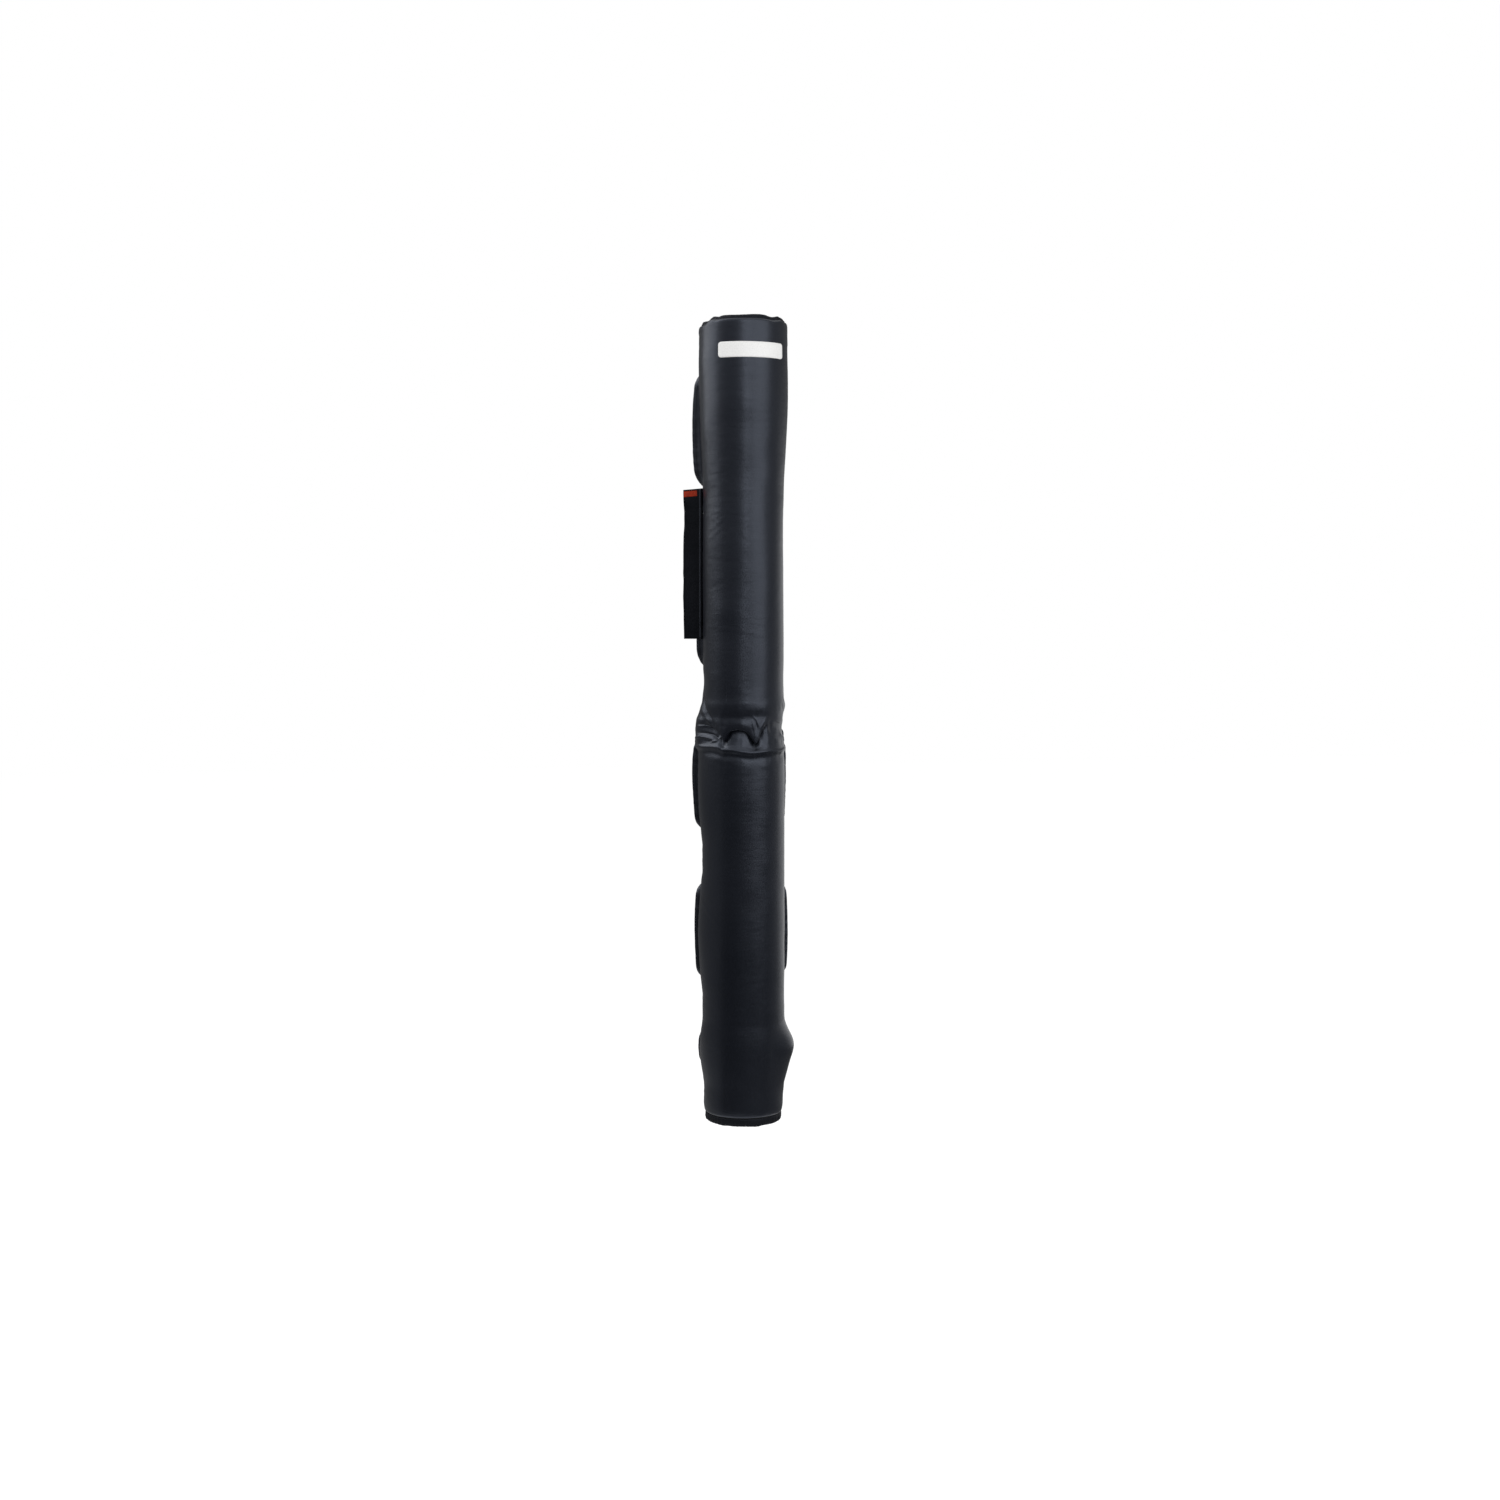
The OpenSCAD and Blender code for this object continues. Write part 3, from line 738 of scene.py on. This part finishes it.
def side_hem(name, side):
    z = spaced((0.3, 4, 1.0), (4, 1214, 3.0), (1214, 1218.6, 1.2))
    if side < 0:
        # the left hem's upper end is shorter, and tucked back on itself
        z[-2:] = 1214.2, 1215.5
    middle = side_hem_middle(z, side)
    along = np.gradient(middle, axis=1)
    along[..., 2] = 0
    along = unit(along)
    normal = np.stack([-along[..., 1], along[..., 0], 0 * along[..., 0]], axis=-1)
    half = np.full(middle.shape[1], HEM_T / 2)
    half[-4:] *= 0.92
    up = middle + normal * half[None, :, None]
    down = middle - normal * half[None, :, None]
    tip = middle[:, -1] + along[:, -1] * HEM_T * 0.45
    tip_up = tip + normal[:, -1] * HEM_T * 0.25
    tip_down = tip - normal[:, -1] * HEM_T * 0.25
    loops = np.concatenate([up, tip_up[:, None], tip_down[:, None], down[:, ::-1]], axis=1)
    ob = strip(name, loops[:, ::-1] if side > 0 else loops, hem_vinyl)

    # a row of stitches on both faces of the flap
    face, back = (up, down) if side > 0 else (down, up)
    k = middle.shape[1] - 3
    spots = np.arange(5, 1213, 3.2)

    def at_spots(values):
        return np.stack([np.interp(spots, z, values[:, i]) for i in range(3)], axis=-1)

    points = np.concatenate([at_spots(mix(face[:, k], middle[:, k], -0.02)), at_spots(back[:, k])])
    normals = unit(at_spots(normal[:, k]) * side)
    upright = np.tile([0.0, 0.0, 1.0], (2 * len(spots), 1))
    stitches(name.replace("strip", "stitches"), points, np.concatenate([normals, -normals]), upright, 2.3)
    return ob


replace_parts(side_hem("left_hem_strip", -1), "left_hem")
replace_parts(side_hem("right_hem_strip", 1), "right_hem")


# Patch: a raised plain print that follows the cover, with round corners and a bevelled edge
def patch_half_height(x):
    corner = np.clip(np.abs(x) - (PATCH_W / 2 - PATCH_CORNER), 0, PATCH_CORNER)
    return PATCH_H / 2 - PATCH_CORNER + np.sqrt(np.maximum(PATCH_CORNER**2 - corner * corner, 0))


def patch_piece():
    nx, ny, crowd = 112, 22, math.pi / 2 * 0.985
    x = np.sin(np.linspace(-1, 1, nx) * crowd) / math.sin(crowd) * PATCH_W / 2
    x, v = np.meshgrid(x, np.linspace(-1, 1, ny))
    z = PATCH_Z + v * patch_half_height(x)
    r = body_r(np.zeros(1), np.array([PATCH_Z]))[0] + 0.3
    a = PATCH_TURN + np.degrees(x / r)
    base = body_r(a, z) + wrinkles(a, z) * 0.6
    rim = np.minimum(smooth((1 - np.abs(v)) * 9), smooth((PATCH_W / 2 - np.abs(x)) / 1.2))
    front, back = at(base + 0.25 + 0.75 * rim, a, z), at(base - 0.3, a, z)
    n = nx * ny
    faces = []
    for j in range(ny - 1):
        for i in range(nx - 1):
            c = j * nx + i
            faces.append((c, c + 1, c + nx + 1, c + nx))
            faces.append((c + n + nx, c + n + nx + 1, c + n + 1, c + n))
    ring = list(range(nx)) + [j * nx + nx - 1 for j in range(1, ny)]
    ring += [(ny - 1) * nx + i for i in range(nx - 2, -1, -1)] + [j * nx for j in range(ny - 2, 0, -1)]
    for c, d in zip(ring, ring[1:] + ring[:1]):
        faces.append((c, c + n, d + n, d))
    verts = np.concatenate([front.reshape(-1, 3), back.reshape(-1, 3)])
    return mesh_piece("patch_print", verts, faces, patch_print)


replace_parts(patch_piece(), "patch")

# Side tag: a thin doubled sheet with its own lean and curl, and a plain coloured band at its upper end
TAG_LEAN = math.radians(HEM_TURN - 98)
TAG_OUT = np.array([-math.cos(TAG_LEAN), math.sin(TAG_LEAN), 0])
TAG_ACROSS = np.array([-TAG_OUT[1], TAG_OUT[0], 0])
TAG_ROOT = at(SEAM_R + 3, -(HEM_TURN - 1.5), 0.0)


def tag_middle(z, s):
    """Middle of the tag's sheet at height z and share s of its width."""
    up = (z - TAG_LOW) / TAG_LEN
    curl = 1.2 * np.sin(np.radians(up * 400)) + 0.5 * n1.line(z / 17, 44)
    dip = 1.9 * hill(up, 0.8, 0.11) + 1.0 * hill(up, 0.02, 0.12)
    reach = TAG_W - 0.5 - dip + 0.35 * n2.line(z / 12, 5)
    sway = s * s * curl + 0.35 * n3(z / 9 + 5 * s, s * 3)
    p = TAG_ROOT + TAG_OUT * (reach * s)[..., None] + TAG_ACROSS * sway[..., None]
    p[..., 2] = z - 2.6 * s * smooth((up - 0.5) / 0.5)
    return p


def tag_piece(name, heights, shares, half, material, step=2.0):
    """A layer of the tag between two heights and two shares of its width."""
    low, high = heights
    z = np.linspace(low, high, max(3, int((high - low) / step)))
    z, s = np.meshgrid(z, np.linspace(*shares, 9), indexing="ij")
    middle = tag_middle(z, s)
    edge = np.ones(9)
    edge[[0, -1]] = 0.45
    lift = TAG_ACROSS * (half * edge)[None, :, None]
    loops = np.concatenate([middle - lift, (middle + lift)[:, ::-1]], axis=1)
    return strip(name, loops, material, "tag")


tag_sheet = tag_piece("tag_sheet", (TAG_LOW, TAG_TOP), (0.0, 1.0), 0.4, tag_vinyl)
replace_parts(tag_sheet, "side_tag")
tag_piece("tag_band", (TAG_TOP - 11.0, TAG_TOP - 2.4), (0.25, 0.985), 0.52, tag_band, step=1.0)
tag_piece("tag_binding", (TAG_LOW + 0.5, TAG_TOP - 0.5), (0.13, 0.21), 0.62, hem_vinyl)


# Lining: smooth inner skin with a lip round each end, and a wall along each edge
LINING_OUT = BORE_R + LINING_T


def lining_piece():
    top_lip, low_lip, columns = 1213.3, 13.7, 97
    profile = [(BORE_R, z) for z in (0.0, 300.0, 600.0, 900.0, PAD_H)]
    profile += [(LINING_OUT, PAD_H), (LINING_OUT, top_lip), (61.6, top_lip), (61.6, top_lip - LINING_T)]
    profile += [(LINING_OUT, top_lip - LINING_T), (LINING_OUT, low_lip), (57.0, low_lip)]
    profile += [(57.0, low_lip - LINING_T), (LINING_OUT, low_lip - LINING_T), (LINING_OUT, 0.0)]
    a = np.linspace(-WRAP, WRAP, columns)
    loops = np.stack([at(r, a, z + top_sag(a) * (r > 50 and z > 1200)) for r, z in profile], axis=1)
    n = len(profile)
    faces = loops_to_faces(columns, n)
    for cap in ((0, 1, 2, 3, 4, 5, 6, 9, 10, 13, 14), (6, 7, 8, 9), (10, 11, 12, 13)):
        faces.append(cap)
        faces.append(tuple((columns - 1) * n + i for i in cap[::-1]))
    return mesh_piece("lining_skin", loops, [f[::-1] for f in faces], lining_cloth)


def lining_wall(name, side):
    """Flat wall along a long edge, from an outline of (radius, height) points."""
    outline = [(45.0, 13.2), (53.5, 13.2), (56.6, 30.0), (56.6, 1206.0), (55.2, 1212.8), (45.0, 1212.8)]
    t = math.radians(side * WRAP)
    rad = np.array([math.sin(t), -math.cos(t), 0])
    inward = np.array([-math.cos(t), -math.sin(t), 0]) * side
    verts = [rad * r + np.array([0, 0, z]) + inward * k for k in (0.0, LINING_T) for r, z in outline]
    n = len(outline)
    faces = [tuple(range(n)), tuple(range(2 * n - 1, n - 1, -1))]
    faces += [(i, i + n, (i + 1) % n + n, (i + 1) % n) for i in range(n)]
    if side > 0:
        faces = [f[::-1] for f in faces]
    return mesh_piece(name, verts, faces, lining_cloth)


lining = lining_piece()
flat_shaded(lining)
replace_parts(lining, "lining")
flat_shaded(lining_wall("lining_wall_left", -1))
flat_shaded(lining_wall("lining_wall_right", 1))


# Foam blocks, inside the cover
def foam_piece(name, low, high, low_cut, high_cut, low_run, replaced):
    """A block between two heights, thinned towards each end by a cut over a run."""
    end_run, skin = 12, 2.3
    z = spaced((low, low + end_run, 3.0), (low + end_run, high - end_run, 12.0), (high - end_run, high, 3.0))
    z, a = np.meshgrid(z, np.linspace(-101, 101, 61), indexing="ij")
    r = DRAWN_R + swell(z) - skin
    r = r - low_cut * (1 - smooth((z - low) / low_run)) - high_cut * (1 - smooth((high - z) / end_run))
    r = r + 0.25 * n1(a / 6, z / 17) - 1.5 * smooth((np.abs(a) - 92) / 9)
    z = z + (top_sag(a) - 1.0) * smooth((z - 1178) / 34)
    loops = np.concatenate([at(r, a, z), at(LINING_OUT + 0.4, a, z)[:, ::-1]], axis=1)
    block = strip(name, loops, foam_cells)
    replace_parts(block, replaced)


foam_piece("foam_block_upper", 613, 1211.5, 9, 1.5, 48, "foam_upper")
foam_piece("foam_block_lower", 14.5, 574, 2.5, 4, 12, "foam_lower")


# Straps and their tapes. A strap leaves its hem straight and then follows the pole
def meet(strap_in):
    """Angle from the back at which a strap meets its round part."""
    return 180 - HEM_TURN + pull(strap_in)


def straight(strap_in):
    """Length of a strap's straight part."""
    return math.sqrt(SEAM_R**2 - (strap_in - HEM_GAP) ** 2) - 1.5


TAPE_HALF = TAPE_LEN / HOOK_IN * 90 / math.pi
# The middle of the overlap, off the middle of the back
OVERLAP = meet(LOOP_IN) - TAPE_HALF - 2.4
HOOK_TIP, LOOP_TIP = -OVERLAP - TAPE_HALF - 6, OVERLAP - TAPE_HALF - 3


def strap_path(strap_in, side, distances):
    """Points and outward directions in plan, at distances along a strap from its hinge line."""
    turn, free = meet(strap_in), straight(strap_in)
    points, normals = [], []
    for s in distances:
        q = math.radians(90 - turn + math.degrees(max(s - free, 0) / strap_in))
        c, n = math.cos(q), math.sin(q)
        ahead = min(s - free, 0)
        points.append((side * (strap_in * c - ahead * n), strap_in * n + ahead * c, 0))
        normals.append((side * c, n, 0))
    return np.array(points), np.array(normals)


def strap_piece(name, strap_in, tip, side, k, body):
    length = straight(strap_in) + math.radians(meet(strap_in) - tip) * strap_in
    t = np.concatenate([
        np.arange(-STRAP_ROOT, STRAP_ROOT, 0.5), np.linspace(STRAP_ROOT, length - 2, 56), [length - 1, length]
    ])
    path, normals = strap_path(strap_in, side, t)
    sway = 0.25 * n1.line(t / 13 + 5 * k, side + 4) * 0.4
    taper = np.where(t > length - 3, 1 - 0.05 * (t - length + 3), 1)
    front, back = [], []
    for v in np.linspace(-1, 1, 21):
        # thinner at the selvedges, with fine ribs along the webbing
        full = 0.55 if abs(v) > 0.93 else 1.0
        rib = 0.07 * np.cos(v * math.pi * 9)
        level = np.array([0, 0, 1]) * (STRAP_Z[k] + v * STRAP_W / 2 * taper + sway)[:, None]
        front.append(path + normals * (STRAP_T * (0.5 + 0.5 * full) + rib * full) + level)
        back.append(path + normals * STRAP_T * (0.5 - 0.5 * full) + level)
    loops = np.concatenate([np.stack(front, axis=1), np.stack(back, axis=1)[:, ::-1]], axis=1)
    strap = strip(name, loops[:, ::-1] if side < 0 else loops, webbing, None)
    # the hinge line at its sewn root is worked out; the piece is baked in place and stands in for the strap's
    # part
    hinge = strap_path(strap_in, side, [-STRAP_ROOT, STRAP_ROOT])[0]
    hinge[:, 2] = STRAP_Z[k]
    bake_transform(strap)
    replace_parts(strap, body)


def tape_piece(kind, inner_r, nap, k, body, material):
    """A tape whose rough face looks at its partner: inwards on a hook strap, outwards on a loop strap."""
    turns = np.radians(np.linspace(90 - OVERLAP - TAPE_HALF, 90 - OVERLAP + TAPE_HALF, 40))
    turn, share = np.meshgrid(turns, np.linspace(-1, 1, 24), indexing="ij")
    rough = 0.15 + np.abs(nap * n1(turn * 160 + k, share * 40))
    back_r = inner_r + (rough if kind == "hook" else 0)
    front_r = inner_r + TAPE_T - (rough if kind == "loop" else 0)

    def grid(r):
        return np.stack([r * np.cos(turn), r * np.sin(turn), STRAP_Z[k] + share * (STRAP_W / 2 - 1)], axis=-1)

    loops = np.concatenate([grid(front_r), grid(back_r)[:, ::-1]], axis=1)
    tape = strip(f"{kind}_pad_{k + 1}", loops, material, body)
    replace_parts(tape, f"{kind}_tape_{k + 1}")


def bar_stitches(name, strap_in, side, k, body, boxes):
    """Boxes of stitches on a strap's outside, each from one distance to another along it."""
    pitch, inset, length = 2.6, 3.5, 1.9
    half = STRAP_W / 2 - inset
    points, normals, along = [], [], []

    def add(distances, heights, upright):
        p, n = strap_path(strap_in, side, distances)
        p = p + n * STRAP_T
        p[:, 2] = STRAP_Z[k] + heights
        level = np.stack([-n[:, 1], n[:, 0], n[:, 2]], axis=-1)
        points.extend(p)
        normals.extend(n)
        along.extend([np.array([0, 0, 1.0])] * len(p) if upright else level)

    for start, end in boxes:
        for height in (-half, half):
            add(np.arange(start, end + 0.1, pitch), height, False)
        for distance in (start, end):
            heights = np.arange(-half, half + 0.1, pitch)
            add([distance] * len(heights), heights, True)
    stitches(name, points, normals, along, length, body)


for k in range(6):
    hook_body, loop_body = f"hook_strap_{k + 1}", f"loop_strap_{k + 1}"
    strap_piece(f"hook_webbing_{k + 1}", HOOK_IN, HOOK_TIP, -1, k, hook_body)
    strap_piece(f"loop_webbing_{k + 1}", LOOP_IN, LOOP_TIP, 1, k, loop_body)
    tape_piece("hook", HOOK_IN - SEW_GAP - TAPE_T, 0.35, k, hook_body, hook_plastic)
    tape_piece("loop", LOOP_IN + STRAP_T + SEW_GAP, 0.3, k, loop_body, loop_felt)
    tape_middle = straight(HOOK_IN) + math.radians(meet(HOOK_IN) + OVERLAP) * HOOK_IN
    boxes = [(2.5, 10.3), (tape_middle - 14, tape_middle + 14)]
    bar_stitches(f"hook_stitches_{k + 1}", HOOK_IN, -1, k, hook_body, boxes)


# Floor, world and lamps, in metres
FLOOR_Z = -0.44


def seen_directly(tree):
    """1 for camera, glossy and transmission rays, which see a white room, and 0 for the others."""
    path = tree.nodes.new("ShaderNodeLightPath")
    first = node(tree, "ShaderNodeMath", operation="MAXIMUM")
    both = node(tree, "ShaderNodeMath", operation="MAXIMUM")
    tree.links.new(path.outputs["Is Camera Ray"], first.inputs[0])
    tree.links.new(path.outputs["Is Glossy Ray"], first.inputs[1])
    tree.links.new(first.outputs[0], both.inputs[0])
    tree.links.new(path.outputs["Is Transmission Ray"], both.inputs[1])
    return both.outputs[0]


def add_floor():
    m, t, b = new_material("pale_floor", grey(0.8), 1.0, 0.0)
    b.inputs["Emission Color"].default_value = (1, 1, 1, 1)
    lift = node(t, "ShaderNodeMath", operation="MULTIPLY")
    t.links.new(seen_directly(t), lift.inputs[0])
    lift.inputs[1].default_value = 0.64
    t.links.new(lift.outputs[0], b.inputs["Emission Strength"])
    bpy.ops.mesh.primitive_plane_add(size=24, location=(0, 0, FLOOR_Z))
    floor = bpy.context.object
    floor.name = "floor"
    floor.data.materials.append(m)


def add_world():
    scene.world = bpy.data.worlds.new("studio")
    scene.world.use_nodes = True
    t = scene.world.node_tree
    background = t.nodes["Background"]
    background.inputs["Color"].default_value = (1, 1, 1, 1)
    level = node(t, "ShaderNodeMapRange")
    t.links.new(seen_directly(t), level.inputs["Value"])
    level.inputs["To Min"].default_value = 0.45
    level.inputs["To Max"].default_value = 1.0
    t.links.new(level.outputs["Result"], background.inputs["Strength"])


def softbox(name, azimuth, distance, height, width, tall, radiance):
    """A rectangular lamp of a given radiance that faces the sleeve."""
    aim = Vector((0, 0, 0.75))
    lamp = bpy.data.lights.new(name, "AREA")
    lamp.shape = "RECTANGLE"
    lamp.size, lamp.size_y = width, tall
    lamp.energy = radiance * math.pi * width * tall
    ob = bpy.data.objects.new(name, lamp)
    scene.collection.objects.link(ob)
    turn = math.radians(azimuth)
    ob.location = (math.sin(turn) * distance, -math.cos(turn) * distance, height)
    ob.rotation_euler = (aim - ob.location).to_track_quat("-Z", "Y").to_euler()


def card(name, turns, radii, heights, radiance):
    """A bent grey card, seen only in reflections, that runs from one radius and height to another."""
    m, t, b = new_material(name, grey(0), 1.0, 0.0)
    b.inputs["Emission Color"].default_value = (1, 1, 1, 1)
    b.inputs["Emission Strength"].default_value = radiance
    columns = 13
    verts = []
    for r, z in zip(radii, heights):
        verts += at(np.array(r), np.linspace(*turns, columns), z).tolist()
    me = bpy.data.meshes.new(name)
    me.from_pydata(verts, [], loops_to_faces(2, columns, closed=False))
    me.materials.append(m)
    ob = bpy.data.objects.new(name, me)
    scene.collection.objects.link(ob)
    ob.visible_camera = ob.visible_diffuse = ob.visible_shadow = ob.visible_transmission = False


add_floor()
add_world()

softbox("front_box", 35, 2.6, 1.4, 2.1, 2.3, 1.95)
softbox("high_box", -1, 2.8, 1.85, 0.8, 2.2, 3.4)
softbox("left_box", -106, 1.8, 1.95, 1.9, 2.0, 2.5)

# Angles that the cards span, and the heights of the low ones, which lie just over the floor
FRONT, LEFT, RIGHT_FLOOR, RIGHT, BACK = (-78, 68), (-188, -78), (68, 150), (68, 106), (106, 172)
ON_FLOOR, LOW_EDGE, HIGH_EDGE = (-0.432, -0.43), -0.43, 3.3
card("front_card", FRONT, (3.6, 3.6), (LOW_EDGE, 0.9), 0.03)
card("upper_card", FRONT, (3.6, 3.6), (0.9, HIGH_EDGE), 0.36)
card("floor_card", FRONT, (0.6, 3.6), ON_FLOOR, 0.03)
card("left_card", LEFT, (2.7, 2.7), (LOW_EDGE, HIGH_EDGE), 0.18)
card("left_floor_card", LEFT, (0.6, 2.7), ON_FLOOR, 0.35)
card("right_floor_card", RIGHT_FLOOR, (0.7, 2.7), ON_FLOOR, 0.15)
card("right_card", RIGHT, (2.7, 2.7), (LOW_EDGE, HIGH_EDGE), 0.35)
card("high_card", BACK, (2.7, 2.7), (1.1, HIGH_EDGE), 0.24)
